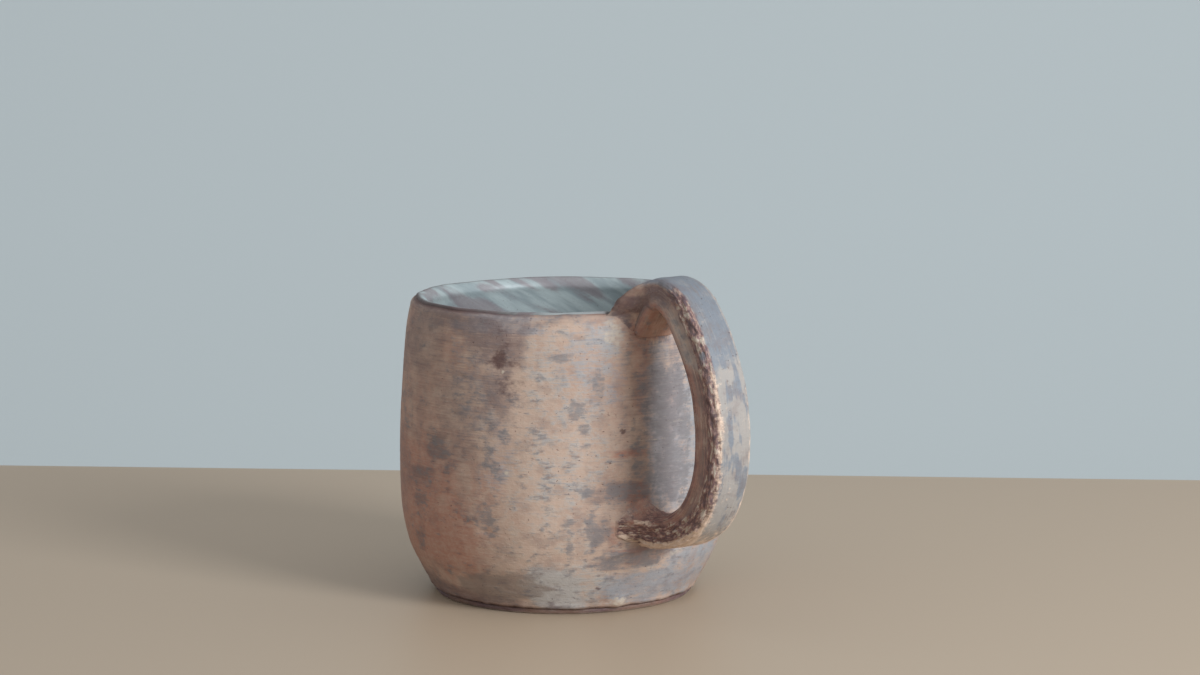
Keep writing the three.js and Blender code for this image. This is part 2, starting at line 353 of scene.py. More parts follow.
# A pale bluish film of slip, smooth to the eye.
PALE_PATCHES = [
    (2, 8.5, 18, 5.6, 0.9), (22, 12, 16, 10, 0.8), (-24, 75, 12, 13, 0.55), (6, 54, 8, 28, 1),
    (14, 50, 6, 26, 0.8), (-57, 50, 6, 14, 0.5), (38, 50, 16, 34, 0.35), (-34, 58, 20, 34, 0.30),
    (-64, 68, 12, 16, 0.40), (-60, 86.5, 15, 3.6, 0.85), (96, 50, 20, 26, 0.4),
    (172, 54, 22, 26, 0.4), (120, 12, 20, 6, 0.6), (-150, 10, 18, 5, 0.5),
]
# A whitish veil, thin enough for the clay to warm it. The two low patches in front, at height 9, are painted
# light, lifting the shade on the lower wall where it turns down to the foot.
CHALK_AND_LIGHT_PATCHES = [
    (18, 56, 6, 30, 0.6), (30, 44, 14, 36, 0.6), (-34, 52, 16, 34, 0.35), (-36, 74, 14, 13, 0.35),
    (-18, 82, 4, 5, 0.7), (-37, 9, 9, 7, 1), (-22, 9, 8, 6, 0.6), (0, 12, 16, 6, 0.35),
    (88, 58, 16, 24, 0.4), (-168, 60, 18, 22, 0.4),
]
# Smoky mauve-brown bloom, drawn down from the rim. The three patches behind the handle, at azimuths -15 to 3
# and heights 50 to 60, are mostly painted shadow of the strap and partly smoke. The three under the lower
# root, at heights 15.5 to 18, are painted shadow of the root.
SMOKE_AND_SHADOW_PATCHES = [
    (-7, 55, 5.6, 22, 0.62), (3, 60, 6, 26, 0.8), (-15, 50, 4, 22, 0.3), (-78, 56, 8, 8, 0.5),
    (-52, 60, 5, 10, 0.35), (-14, 38, 7, 3.6, 1), (-3, 18, 9, 3.6, 1), (-19, 17, 5, 3, 0.7),
    (-82, 49.5, 6.6, 5, 1), (-92, 39.5, 7.6, 3.4, 1), (-93, 32, 4.6, 2.6, 0.8),
    (-71, 63, 8, 3.4, 0.7), (-97, 19, 3, 4, 0.6), (-58, 82, 9, 9, 1), (-57, 68, 6, 11, 0.85),
    (-70, 62, 7, 10, 0.5), (-80, 88, 24, 4.6, 0.95), (-104, 80, 14, 14, 0.75),
    (-86, 78, 5, 10, 0.6), (-76, 58, 13, 22, 0.65), (-66, 46, 6, 14, 0.4), (-21, 27, 4, 6.5, 0.8),
    (-17, 34, 4, 2.6, 0.5), (-92, 66, 6, 24, 0.5), (-36, 89, 16, 2.2, 0.55),
    (-12, 15.5, 9, 2.6, 0.5), (-90, 4, 24, 4, 0.9), (-62, 15, 6, 4, 0.35), (-108, 44, 8, 24, 0.45),
    (120, 86, 30, 4.4, 0.8), (-160, 87, 30, 4, 0.8), (140, 76, 6, 10, 0.6), (60, 87, 20, 3.4, 0.7),
    (-178, 48, 6, 20, 0.5), (84, 22, 9, 9, 0.4),
]
# Iron blots, dark and reddish.
STAIN_PATCHES = [
    (-57, 75.8, 3, 2.6, 1), (-51.5, 75.2, 2.4, 1, 0.75), (-54.5, 80.5, 2, 1.6, 0.55),
    (-52.5, 69.5, 4, 4, 0.5), (-56.5, 84.5, 1.6, 1.4, 0.4), (-14, 55.5, 0.8, 0.8, 0.9),
    (-21, 8.6, 0.9, 0.5, 0.8), (127, 70, 2.8, 4, 0.7), (-136, 52, 2, 3.2, 0.55),
]
# Places where the slip is gone and the clay glows terracotta.
EMBER_PATCHES = [
    (-2, 85, 7, 5, 0.9), (-6, 74, 4.6, 13, 0.65), (-13, 60, 2.4, 12, 0.4), (-9, 36, 4, 4.6, 1),
    (-15, 32, 3, 2.6, 0.35), (-17, 25, 2.4, 4, 0.7), (-10, 19.8, 7, 0.9, 0.9),
    (-15, 69, 5, 14, 0.45), (-100, 32, 24, 26, 0.9), (-92, 60, 14, 14, 0.55),
    (-80, 24, 14, 20, 0.85), (-64, 34, 8, 20, 0.45), (-124, 50, 16, 44, 0.8), (-76, 78, 10, 8, 0.5),
    (-12, 49, 6, 1.2, 0.9), (0, 53.5, 6, 0.9, 0.6), (-13, 33, 4, 3, 0.3), (-160, 30, 26, 20, 0.6),
    (150, 24, 26, 14, 0.6), (100, 78, 20, 8, 0.5), (-150, 76, 20, 8, 0.5),
]
# Smooth olive-brown wash near the foot.
WASH_PATCHES = [
    (-61, 7.6, 13.5, 4.4, 0.95), (-52, 11.5, 6, 2.6, 0.7), (-46, 4.2, 8, 1.8, 0.35),
    (-84, 8, 10, 3, 0.25), (70, 8, 16, 5, 0.7), (165, 8, 18, 5, 0.7), (-128, 7, 14, 4, 0.6),
]
# Small scraped-clean lights and white grits.
CREAM_PATCHES = [
    (-55.3, 73, 0.5, 0.5, 1), (-53.6, 43.4, 0.6, 0.6, 1), (-11, 3.6, 1.9, 1.4, 0.8),
    (8, 17.5, 4.5, 1.1, 0.5), (-16, 84, 3, 3.4, 0.6), (9, 57, 5, 0.5, 0.45),
    (-3, 52.6, 6.5, 0.5, 0.45),
]


def worn_rim(points):
    """How much of the dark line along the rim is left: little of it in front, by the handle."""
    return 1 - 0.6 * np.exp(-((azimuth(points) + 36) / 24) ** 2)


def body_masks(points):
    z = points[..., 2]
    lip_turn = np.degrees(np.arctan2(z - LIP_HEIGHT, np.hypot(points[..., 0], points[..., 1]) - LIP_RADIUS))
    under_glaze = ease(44, 62, lip_turn + 9 * noise(points, (5, 5, 5), 22, 2)) * (z > LIP_HEIGHT)
    under_glaze = under_glaze * worn_rim(points)
    return {
        "slip": paint(points, SLIP_AND_SHADOW_PATCHES, 100, 0.55),
        "pale": paint(points, PALE_PATCHES, 160, 0.60, 0.35),
        "chalk": paint(points, CHALK_AND_LIGHT_PATCHES, 180, 0.70, 0.35),
        "smoke": paint(points, SMOKE_AND_SHADOW_PATCHES, 200, 0.75, 0.45),
        "stain": paint(points, STAIN_PATCHES, 300, 0.60),
        "ember": paint(points, EMBER_PATCHES, 400, 0.75, 0.45),
        "wash": paint(points, WASH_PATCHES, 500, 0.35, 0.40),
        "cream": paint(points, CREAM_PATCHES, 600, 0.45, 0.40),
        "seam": ease(3.0, 2.0, z + 0.4 * noise(points, (6, 6, 6), 21)),
        "rim": under_glaze,
        "flow": points,
    }


# ---- body wall
def inside_outline():
    """Inside face of the clay wall, from the slab's top corner up to the lip."""
    height = BODY[:, 1]
    thickness = FOOT_WALL + (NECK_WALL - FOOT_WALL) * height / LIP_HEIGHT
    face = offset_outline(BODY, thickness)
    face = face[(face[:, 1] > SLAB_TOP) & (face[:, 1] < LIP_HEIGHT - 1.0)]
    return np.vstack([[face[0, 0], SLAB_TOP], face, [LIP_RADIUS - LIP_ROUND, LIP_HEIGHT]])


INSIDE = inside_outline()


def rim_sway(points):
    """Slow rise and fall of the hand-cut rim, which fades out down the wall."""
    sway = 0.22 * noise(points, (30, 30, 400), 31) + 0.13 * noise(points, (8, 8, 400), 32, 2)
    return sway * ease(60, 88, points[..., 2])


def build_body_wall(material):
    """The wall: foot, outside, rounded lip and inside face. Only its outside shows and is worked."""
    foot = np.array([
        [INSIDE[0, 0], SEAM_HEIGHT], [FOOT_RADIUS - 0.7, SEAM_HEIGHT],
        [FOOT_RADIUS - 0.2, SEAM_HEIGHT + 0.15],
    ])
    outer = outside_outline(162)[1:]
    lip_angle = np.linspace(0, math.pi, 15)[1:]
    lip_radius = LIP_RADIUS + LIP_ROUND * np.cos(lip_angle)
    lip = np.stack([lip_radius, LIP_HEIGHT + LIP_ROUND * np.sin(lip_angle)], 1)
    inner = resample(INSIDE[::-1], 26)[1:]
    rings = revolve(np.vstack([foot, outer, lip, inner, [INSIDE[0, 0], SEAM_HEIGHT + SUNK]]))
    showing = np.ones((rings.shape[0], 1))
    showing[:2] = 0
    showing[len(foot) + len(outer) + 9:] = 0
    holes = pits(rings, 41, 120, z_range=(6, 84), radius_range=(0.45, 1.0), depth_range=(0.10, 0.30))
    push = body_relief(rings) - holes
    masks = body_masks(rings)
    masks["rim"] = masks["rim"] * showing
    rings = rings + lathe_normals(rings) * (push * showing)[..., None]
    rings[..., 2] += rim_sway(rings)
    piece = skin("wall_of_clay", rings, masks, material)
    stand_for(piece, "body_wall")


# ---- base slab
def build_base_slab(material):
    """The slab: its bottom, its rounded bare edge and the face hidden under the wall and the glaze."""
    r = SLAB_EDGE_RADIUS
    centre_hole = 0.6                 # closed by the skin's fan
    bottom = np.stack([np.linspace(centre_hole, r - 1.1, 60), np.zeros(60)], 1)
    edge = np.array([
        [r - 0.60, 0.06], [r - 0.25, 0.28], [r - 0.05, 0.60], [r, 1.00], [r - 0.05, 1.35], [r - 0.20, 1.62],
        [r - 0.45, 1.80],
    ])
    under_wall = INSIDE[0, 0]
    hidden_top = SLAB_TOP - SUNK
    top = np.array([
        [r - 1.0, 1.86], [under_wall, SEAM_HEIGHT], [under_wall, hidden_top], [20.0, hidden_top],
        [centre_hole, hidden_top],
    ])
    rings = revolve(np.vstack([bottom, edge, top]))
    on_edge = np.zeros((rings.shape[0], 1))
    on_edge[len(bottom) - 1:len(bottom) + len(edge)] = 1
    spread = np.linalg.norm(rings[..., :2], axis=-1)
    bite = 0.18 * noise(rings, (7, 7, 7), 51) + 0.14 * noise(rings, (1.8, 1.8, 0.9), 52, 2)
    rings[..., :2] *= (1 + bite * on_edge / spread)[..., None]
    floor = rings[:len(bottom)]
    floor[..., 2] += 0.10 * np.abs(noise(floor, (5, 5, 5), 53, 2))
    masks = {
        "ember": 0.05 + 0.5 * noise(rings, (9, 9, 9), 54),
        "seam": ease(1.35, 1.8, rings[..., 2]) * on_edge,
        "scuff": ease(33, 38.5, spread) * ease(0.7, 0.1, rings[..., 2]),
        "flow": rings,
    }
    piece = skin("slab_of_clay", rings, masks, material)
    stand_for(piece, "base_slab")


# ---- interior glaze
GLAZE_EDGE_ANGLE = 76.0           # around the lip, from level with its outside
BRUSH_TWIST = 2.3                 # degrees that a brush stroke goes around per mm that it rises


def coil_face(count):
    """The hollow curve of the seam's coil, from the slab up to the wall."""
    corner, end = INSIDE[0], INSIDE[np.searchsorted(INSIDE[:, 1], COIL_TOP)]
    start = np.array([corner[0] - COIL_REACH, SLAB_TOP])
    control = (start + end) / 2 + 0.55 * (corner - (start + end) / 2)
    t = np.linspace(0, 1, count)[:, None]
    return (1 - t) ** 2 * start + 2 * (1 - t) * t * control + t ** 2 * end


def build_interior_glaze(material):
    """The glaze: over floor, coil and wall, around the lip, and back down inside the clay."""
    coil = coil_face(16)
    floor = np.stack([np.linspace(0.6, coil[0, 0], 40)[:-1], np.full(39, SLAB_TOP)], 1)
    wall = INSIDE[INSIDE[:, 1] > COIL_TOP + 0.5]
    wall = resample(np.vstack([coil[-1], wall]), 96)[1:]
    clay_face = np.vstack([floor, coil, wall])
    faces = revolve(offset_outline(clay_face, GLAZE))
    angle = np.arange(AROUND) * (2 * math.pi / AROUND)
    out = np.stack([np.cos(angle), np.sin(angle), np.zeros(AROUND)], 1)
    up = np.array([0.0, 0.0, 1.0])
    circle = out * LIP_RADIUS + up * LIP_HEIGHT
    edge = math.radians(GLAZE_EDGE_ANGLE) + 0.20 * noise(circle, (8, 8, 8), 61, 3)

    def around_lip(turn, reach):
        return circle + (out * np.cos(turn)[:, None] + up * np.sin(turn)[:, None]) * reach

    steps = 22
    rows = []
    for k in range(1, steps + 1):
        fraction = k / steps
        turn = math.pi + (edge - math.pi) * fraction
        reach = LIP_ROUND + 0.06 + (GLAZE - 0.06) * math.sqrt(min((1 - fraction) / 0.12, 1.0))
        rows.append(around_lip(turn, reach))
    buried = LIP_ROUND - 0.5
    back = [around_lip(edge, buried)]
    back += [around_lip(np.full(AROUND, a), buried) for a in (1.9, 2.5, math.pi)]
    hidden = revolve(resample(offset_outline(clay_face, -0.25)[::-1], 16))
    rings = np.concatenate([faces, np.stack(rows), np.stack(back), hidden])
    shown = len(faces) + steps
    ripple = 0.08 * noise(rings, (12, 12, 7), 62) + 0.03 * noise(rings, (3, 3, 3), 63)
    ripple[shown - 3:] = 0
    rings = rings - lathe_normals(rings) * ripple[..., None]
    rings[..., 2] += rim_sway(rings)
    height = rings[..., 2]
    turned = np.radians(azimuth(rings) - BRUSH_TWIST * height)
    spread = np.linalg.norm(rings[..., :2], axis=-1)
    helix = np.stack([spread * np.cos(turned), spread * np.sin(turned), height], -1)
    stroke = noise(helix, (6.0, 6.0, 10.0), 64, 2) + 0.55 * noise(rings, (15, 15, 9), 65, 2)
    thin = np.zeros((len(rings), 1))
    thin[len(faces):shown, 0] = ease(0.62, 0.985, np.arange(1, steps + 1) / steps)
    masks = {
        "stroke": ease(-0.28, 0.38, stroke + 0.25 * np.exp(-((azimuth(rings) - 105) / 38) ** 2)),
        "rim": thin * worn_rim(rings),
        "pool": ease(14, 6, height),
        "flow": helix,
    }
    piece = skin("glaze_of_the_inside", rings, masks, material)
    stand_for(piece, "interior_glaze")


# ---- handle
ROUTE_FINE = catmull_rom(ROUTE, 600)
ROUTE_TANGENT = np.gradient(ROUTE_FINE, axis=0)
ROUTE_TANGENT /= np.linalg.norm(ROUTE_TANGENT, axis=1)[:, None]
ROUTE_LENGTH = float(np.sum(np.linalg.norm(np.diff(ROUTE_FINE, axis=0), axis=1)))


def route_at(t):
    """Centre, tangent and outward direction of the strap at fractions of its route, in (X, Z)."""
    at = np.clip(t, 0, 1) * (len(ROUTE_FINE) - 1)
    index = np.arange(len(ROUTE_FINE))
    centre = np.stack([np.interp(at, index, ROUTE_FINE[:, k]) for k in (0, 1)], -1)
    tangent = np.stack([np.interp(at, index, ROUTE_TANGENT[:, k]) for k in (0, 1)], -1)
    outward = np.stack([-tangent[..., 1], tangent[..., 0]], -1)
    return centre, tangent, outward


def strap_section(half_width, half_thick, count):
    """Points (across, outward) around the strap: flat outer face with crisp edges, soft inner face."""
    angle = np.linspace(-math.pi / 2, 1.5 * math.pi, 721)
    power = 5.2 - 0.6 * ease(-0.3, 0.6, np.sin(angle))
    c, s = np.cos(angle), np.sin(angle)
    across = half_width * np.sign(c) * np.abs(c) ** (2 / power)
    outward = half_thick * np.sign(s) * np.abs(s) ** (2 / power)
    return resample(np.stack([across, outward], 1), count + 1)[:-1]


def strap_rings(t, grow=0.0):
    """Rings across the strap at fractions t, and each point's place in the section."""
    fullness = ease(0.08, 0.30, np.minimum(t, 1 - t))
    thick = STRAP_THIN + (STRAP_THICK - STRAP_THIN) * fullness
    centre, _, outward = route_at(t)
    rings, places = [], []
    for i in range(len(t)):
        section = strap_section(STRAP_WIDTH / 2 + grow, thick[i] / 2 + grow, AROUND_STRAP)
        flat = centre[i] + outward[i] * section[:, 1:2]
        rings.append(np.stack([flat[:, 0], section[:, 0], flat[:, 1]], 1))
        places.append(section / [STRAP_WIDTH / 2, thick[i] / 2])
    return np.array(rings), np.array(places)


def edge_band(places, side, width):
    """1 along a line down the strap's outer face, at a place from -1 to 1, fading over a width in mm."""
    across = (places[..., 0] - side) * STRAP_WIDTH / 2
    outward = (places[..., 1] - 0.95) * STRAP_THICK / 2
    return np.exp(-(across ** 2 + outward ** 2) / width ** 2)


def worked_place(places, t):
    """Coordinates along, across and through the strap, in mm."""
    across, outward = places[..., 0], places[..., 1]
    return np.stack([t * ROUTE_LENGTH + 0 * across, across * STRAP_WIDTH / 2, outward * STRAP_THICK / 2], -1)


def burr_crumbs(places, t):
    """Where clay crumbs cling along the strap's near edge, and how high each stands (-1 to 1)."""
    worked = worked_place(places, t)
    outward = places[..., 1]
    side = ease(-0.50, -0.90, places[..., 0])
    clumps = noise(worked, (6.5, 2.0, 2.0), 78, 3)
    low = ease(0.62, 0.85, t)
    on_side = side * ease(-0.05 - 0.75 * low, 0.45 - 0.75 * low, outward) * ease(1.2, 0.9, outward)
    zone = np.maximum(edge_band(places, -1.0, 1.4), on_side)
    zone = zone * ease(-1.15, -0.45, clumps) * ease(0.13, 0.24, t)
    return zone, noise(worked, (2.0, 0.8, 0.8), 79, 3)


def handle_masks(places, t):
    """t has a row for each ring, and may run past the strap's ends."""
    across, outward = places[..., 0], places[..., 1]
    worked = worked_place(places, t)
    cloud = noise(worked, (8, 4.0, 4.0), 71, 3)
    streak = noise(worked, (9, 1.5, 1.5), 77, 3)
    outer_face = ease(0.30, 0.80, outward)
    inner_face = ease(-0.45, -0.9, outward)
    side = ease(-0.50, -0.90, across) * (1 - outer_face)
    inner_side = side * ease(0.1, -0.6, outward)
    upper = ease(0.40, 0.34, t + 0.035 * cloud)
    middle = (1 - upper) * ease(0.80, 0.66, t)
    patchy = ease(-0.20, 0.35, cloud + 0.6 * streak)
    far_line = edge_band(places, 0.90, 0.9)
    near_line = edge_band(places, -0.92, 1.6)
    fringe = edge_band(places, -0.80, 1.3)
    low_lip = near_line * ease(0.74, 0.82, t)
    rooted = ease(0.27, 0.15, t)
    fray, _ = burr_crumbs(places, t)
    chalk = outer_face * ease(0.86, 0.76, t) + 0.5 * side * upper * (1 - rooted)
    slip = 0.70 * upper * ease(-0.3, 0.5, cloud) + 0.7 * middle * ease(0.0, 0.5, cloud)
    cream = 0.65 * far_line + 0.62 * fringe * (1 - 0.6 * upper) + low_lip
    # painted light: the outer face on the strap's lower bend faces down and is brightened as if lit by light
    # bounced off the table
    cream = cream + 0.75 * outer_face * ease(0.68, 0.82, t)
    cream = cream + 0.25 * outer_face * (1 - upper) * (1 - near_line) * ease(0.1, -0.5, cloud)
    smoke = (0.65 * near_line + 0.30 * side) * upper
    smoke = smoke + 0.6 * side * ease(-1.0, -0.1, outward) * rooted
    ember = ease(0.74, 0.88, t) * (1 - 0.2 * outer_face) * 0.9
    ember = ember + (0.5 + 0.2 * rooted) * inner_face + 0.8 * inner_side * (1 - 0.4 * upper)
    fibre = side * (1 - 0.72 * upper) - 0.45 * inner_side + 0.8 * inner_face * (1 - rooted)
    return {
        "chalk": np.clip(chalk, 0, 1),
        "pale": outer_face * np.clip(upper + 0.9 * middle * patchy, 0, 1) * (1 - 0.8 * far_line),
        "slip": outer_face * np.clip(slip, 0, 1),
        "cream": np.clip(cream, 0, 1),
        "smoke": np.clip(smoke, 0, 1),
        "ember": np.clip(ember, 0, 1),
        "fibre": np.clip(fibre, 0, 1),
        "burr": fray,
        "flow": worked,
    }


def handle_relief(places, t, rings):
    """How far handwork pushes the strap's skin out, in mm; its inner face is fuller than the CAD's."""
    worked = worked_place(places, t)
    rough = noise(worked, (3.4, 1.6, 1.6), 73, 3)
    streak = noise(worked, (12.0, 0.9, 0.9), 76, 2)
    fray, crumb = burr_crumbs(places, t)
    push = 0.20 * noise(rings, (14, 14, 14), 74) + 0.09 * noise(rings, (4.5, 4.5, 4.5), 75, 2)
    push += fray * (0.42 * crumb + 0.12)
    push += edge_band(places, 0.93, 0.8) * (0.26 + 0.14 * rough)
    push += 0.10 * streak * ease(0.85, 0.55, np.abs(places[..., 1]))
    push += 0.85 * ease(-0.2, -0.8, places[..., 1])
    return push


def build_handle_strap(material):
    t = np.linspace(0.012, 0.985, STRAP_RINGS)
    rings, places = strap_rings(t)
    masks = handle_masks(places, t[:, None])
    push = handle_relief(places, t[:, None], rings)
    rings = rings + ring_normals(rings) * push[..., None]
    piece = skin("strap_of_clay", rings, masks, material)
    stand_for(piece, "handle_strap")


# ---- handle welds
def blend_masks(strap, body, weight):
    """Masks that pass from the strap's to the body's as the weight goes from 0 to 1."""
    blended = {}
    for key in sorted(set(strap) | set(body)):
        if key != "flow":
            blended[key] = strap.get(key, 0.0) * (1 - weight) + body.get(key, 0.0) * weight
    return blended


def foot_outline(places, away, foot, seed):
    """The root's edge on the body: sideways arc, height, and how far up the foot each point is."""
    turn = np.arctan2(places[:, 1], places[:, 0])
    c, up_turn = np.cos(turn), np.sin(turn) * away
    tall = np.where(up_turn > 0, foot["up"], foot["down"])
    wide = np.where(c < 0, foot["left"], foot["right"])
    wide = wide * (1 - (1 - foot["taper"]) * ease(0.5, -0.5, up_turn))
    power = 2 / foot["square"]
    uneven = 1 + 0.05 * np.sin(3 * turn + seed) + 0.03 * np.sin(7 * turn)
    y = wide * np.sign(c) * np.abs(c) ** power * uneven
    tall = tall + foot["mound"] * np.exp(-((y + 6.8) / 4.4) ** 2) * (up_turn > 0)
    z = foot["height"] + tall * np.sign(up_turn) * np.abs(up_turn) ** power
    top_of_body = LIP_HEIGHT + LIP_ROUND * 0.86
    return y, np.minimum(z, top_of_body), up_turn


def bezier(f, start, leave_start, reach_end, end):
    """Points at a fraction f of cubic curves over four control points."""
    a, b, c, d = (1 - f) ** 3, 3 * (1 - f) ** 2 * f, 3 * (1 - f) * f ** 2, f ** 3
    return a * start + b * leave_start + c * reach_end + d * end


def build_weld(name, node, material, strap_t, foot, seed):
    """Clay drawn from the strap's skin down onto the body, tangent to both."""
    start, places = strap_rings(np.array([strap_t]), -0.15)
    start, places = start[0], places[0]
    _, tangent, _ = route_at(np.array(strap_t))
    away = 1.0 if strap_t < 0.5 else -1.0
    to_body = np.array([-tangent[0], 0.0, -tangent[1]]) * away
    y, z, up_turn = foot_outline(places, away, foot, seed)
    end = on_body(y, z)
    outward = np.stack([np.cos(y / BODY_ARC_RADIUS), np.sin(y / BODY_ARC_RADIUS), 0 * y], 1)
    end = end + outward * (body_relief(end) - foot["sink"])[:, None]
    inner = on_body(y * 0.7, foot["height"] + (z - foot["height"]) * 0.7)
    leave = inner - on_body(y, z)
    leave /= np.linalg.norm(leave, axis=1)[:, None]
    direct = (start - end) / np.linalg.norm(start - end, axis=1)[:, None]
    full = (foot["full"] * ease(0.2, 0.6, up_turn))[:, None]
    leave = (leave + outward * foot["lift"]) * (1 - full) + direct * full
    crest = ease(0.05, 0.55, up_turn)[:, None] * foot["crest"]
    leave = leave * (1 - crest) + np.array([0.50, 0.0, 0.87]) * crest
    leave /= np.linalg.norm(leave, axis=1)[:, None]
    span = np.linalg.norm(end - start, axis=1)[:, None]
    leave_start = start + to_body * span * foot["follow"]
    reach_end = end + leave * span * foot["reach"]
    s = np.linspace(0, 1, WELD_RINGS)[:, None]
    rings = np.array([bezier(f, start, leave_start, reach_end, end) for f in s[:, 0]])
    place_rings = np.repeat(places[None], WELD_RINGS, 0)
    t = strap_t - away * s * foot["length"] / ROUTE_LENGTH
    weight = ease(foot["blend"][0], foot["blend"][1], s + 0.12 * noise(rings, (4, 4, 4), seed + 5, 2))
    masks = blend_masks(handle_masks(place_rings, t), body_masks(rings), weight)
    inside_edge = ease(1.0, 0.86, s) * ease(0.0, 0.30, s)
    for key, table in foot["paint"].items():
        masks[key] = np.maximum(masks[key], paint(rings, table, seed + 7, 0.6) * inside_edge)
    crumb = noise(rings, (2.0, 1.4, 1.2), seed + 9, 3)
    crumbly = paint(rings, foot["crumbly"], seed + 11, 0.6) * inside_edge
    masks["burr"] = np.maximum(masks["burr"], crumbly)
    push = handle_relief(place_rings, t, rings) * (1 - weight)
    open_zone = np.sin(np.pi * s) ** 0.7
    pressed = 0.22 * noise(rings, (6, 6, 6), seed, 2)
    push += open_zone * (pressed + foot["rough"] * noise(rings, (2.2, 2.2, 1.8), seed + 1, 3))
    push += 0.5 * crumbly * crumb
    push += bumps(rings, foot["bumps"]) * ease(0.0, 0.15, s) * ease(1.0, 0.93, s)
    rings = rings + ring_normals(rings) * push[..., None]
    stretch = 1 + 0.9 * s
    along = t * ROUTE_LENGTH * np.ones_like(places[:, 0])
    across = places[:, 0] * STRAP_WIDTH / 2 * stretch
    through = places[:, 1] * STRAP_THICK / 2 * stretch
    masks["flow"] = np.stack([along, across, through], -1)
    sunk_end = end - outward * 1.2
    sunk_start, _ = strap_rings(np.array([strap_t]), -0.9)
    rings = np.concatenate([sunk_start, rings, sunk_end[None]])
    for key in masks:
        masks[key] = np.concatenate([masks[key][:1], masks[key], masks[key][-1:]])
    piece = skin(name, rings, masks, material)
    stand_for(piece, node)


# The two roots: the foot's place and size on the body in mm, the sweep down to it, where the strap's
# masks pass into the body's, and tables like the body's.
UPPER_FOOT = {
    "height": 88.5, "up": 0.6, "down": 10.5, "left": 15.0, "right": 13.5,
    "taper": 0.80, "square": 2.1, "mound": 0.0, "sink": 0.14, "lift": 0.0, "full": 0.2, "crest": 0.95,
    "follow": 0.36, "reach": 0.50, "length": 12.0,
    "blend": (0.15, 0.75), "rough": 0.05,
    "bumps": [(-7, 84, 3.0, 3.0, -0.25), (-11, 92.5, 4.0, 2.6, 1.3), (-5, 96, 4.5, 2.6, 0.9)],
    "crumbly": [(-2, 94, 4.0, 1.2, 0.25)],
    "paint": {
        "fibre": [(-4, 93, 7.0, 4.0, 0.35)],
        "smoke": [
            (-14, 88, 4.6, 5, 0.9), (-3, 93.5, 10, 4, 0.9), (10, 88, 6, 6, 0.7), (-14, 81, 3, 6, 0.6),
        ],
        "ember": [(-4, 85, 7.0, 5.0, 0.9), (-12, 90, 2.0, 2.0, 0.5), (-4, 96, 6.0, 1.5, 0.4)],
    },
}
LOWER_FOOT = {
    "height": 26.6, "up": 4.6, "down": 4.2, "left": 14.9, "right": 10.5,
    "taper": 1.0, "square": 3.0, "mound": 7.0, "sink": 0.16, "lift": 0.08, "full": 0.0, "crest": 0.0,
    "follow": 0.42, "reach": 0.34, "length": 9.0,
    "blend": (0.35, 0.90), "rough": 0.26,
    "bumps": [
        (-17, 28, 2, 3, 0.6), (-15.5, 23.8, 3.4, 1, 0.9), (-7, 25.4, 3.4, 1.4, -0.5),
        (-10, 22.6, 4.6, 0.9, 0.6), (-13.5, 26, 1.6, 1.2, -0.6), (-12, 29.6, 1.2, 1, 0.7),
        (-8, 28.3, 2.6, 0.8, 0.7), (-3, 29, 1.6, 0.8, 0.6), (-14, 31.5, 2, 1, 0.5), (-8, 35, 4, 2, -0.3),
    ],
    "crumbly": [
        (-15.5, 27.5, 3.2, 4, 1), (-10, 25.4, 5, 2.2, 0.9), (-2, 25.2, 6, 2.2, 0.9), (6, 24.5, 5, 2.6, 0.9),
    ],
    "paint": {
        "fibre": [(-15, 27, 3.4, 3.6, 0.8), (-9, 25, 6.5, 2.4, 0.9), (-1, 24.6, 7.0, 2.8, 0.9)],
        "smoke": [(-13, 32.5, 3.0, 3.0, 0.4), (2, 31.5, 5.0, 1.6, 0.6)],
        "ember": [
            (-8, 33, 5.4, 5, 1), (-3, 29.8, 7, 2.4, 1), (-13, 31, 3, 2.6, 0.6), (-6, 22.8, 12, 2, 1),
        ],
        "cream": [
            (-14.5, 24, 3.4, 1.1, 1), (-6, 22.8, 9, 1.2, 1), (-8, 28.8, 3.4, 0.5, 0.8),
            (-14, 31.8, 2.4, 1, 0.6),
        ],
    },
}


# ---- materials
def add(tree, kind, inputs=None, **settings):
    """A shader node with its settings, and its inputs set or linked."""
    made = tree.nodes.new("ShaderNode" + kind)
    for key, value in settings.items():
        setattr(made, key, value)
    for key, value in (inputs or {}).items():
        if isinstance(value, bpy.types.NodeSocket):
            tree.links.new(value, made.inputs[key])
        else:
            made.inputs[key].default_value = value
    return made


def grain(tree, coords, size, detail=4.0, roughness=0.55, shift=0.0):
    """Noise with features of the given size in mm; coords are in mm."""
    scaled = add(tree, "Mapping", {
        "Vector": coords, "Scale": tuple(1.0 / s for s in size),
        "Location": (shift, shift * 0.7, shift * 1.3)})
    made = add(tree, "TexNoise", {
        "Vector": scaled.outputs[0], "Scale": 1.0, "Detail": detail, "Roughness": roughness})
    return made.outputs[0]


def ramp(tree, value, low, high, to_low=0.0, to_high=1.0):
    made = add(tree, "MapRange", {
        "Value": value, "From Min": low, "From Max": high, "To Min": to_low, "To Max": to_high},
        interpolation_type="SMOOTHSTEP")
    return made.outputs[0]


def maths(tree, operation, a, b=0.0, c=0.0):
    return add(tree, "Math", {0: a, 1: b, 2: c}, operation=operation).outputs[0]


def times(tree, a, b):
    return maths(tree, "MULTIPLY", a, b)


def muladd(tree, a, b, c):
    return maths(tree, "MULTIPLY_ADD", a, b, c)


def blend(tree, factor, a, b):
    return add(tree, "Mix", {0: factor, 6: a, 7: b}, data_type="RGBA").outputs[2]


def over(tree, colour, tone, a, b):
    """The tone laid over a colour, covering it by a times b."""
    return blend(tree, times(tree, a, b), colour, tone)


def mask(tree, name):
    return add(tree, "Attribute", attribute_name=name).outputs["Fac"]


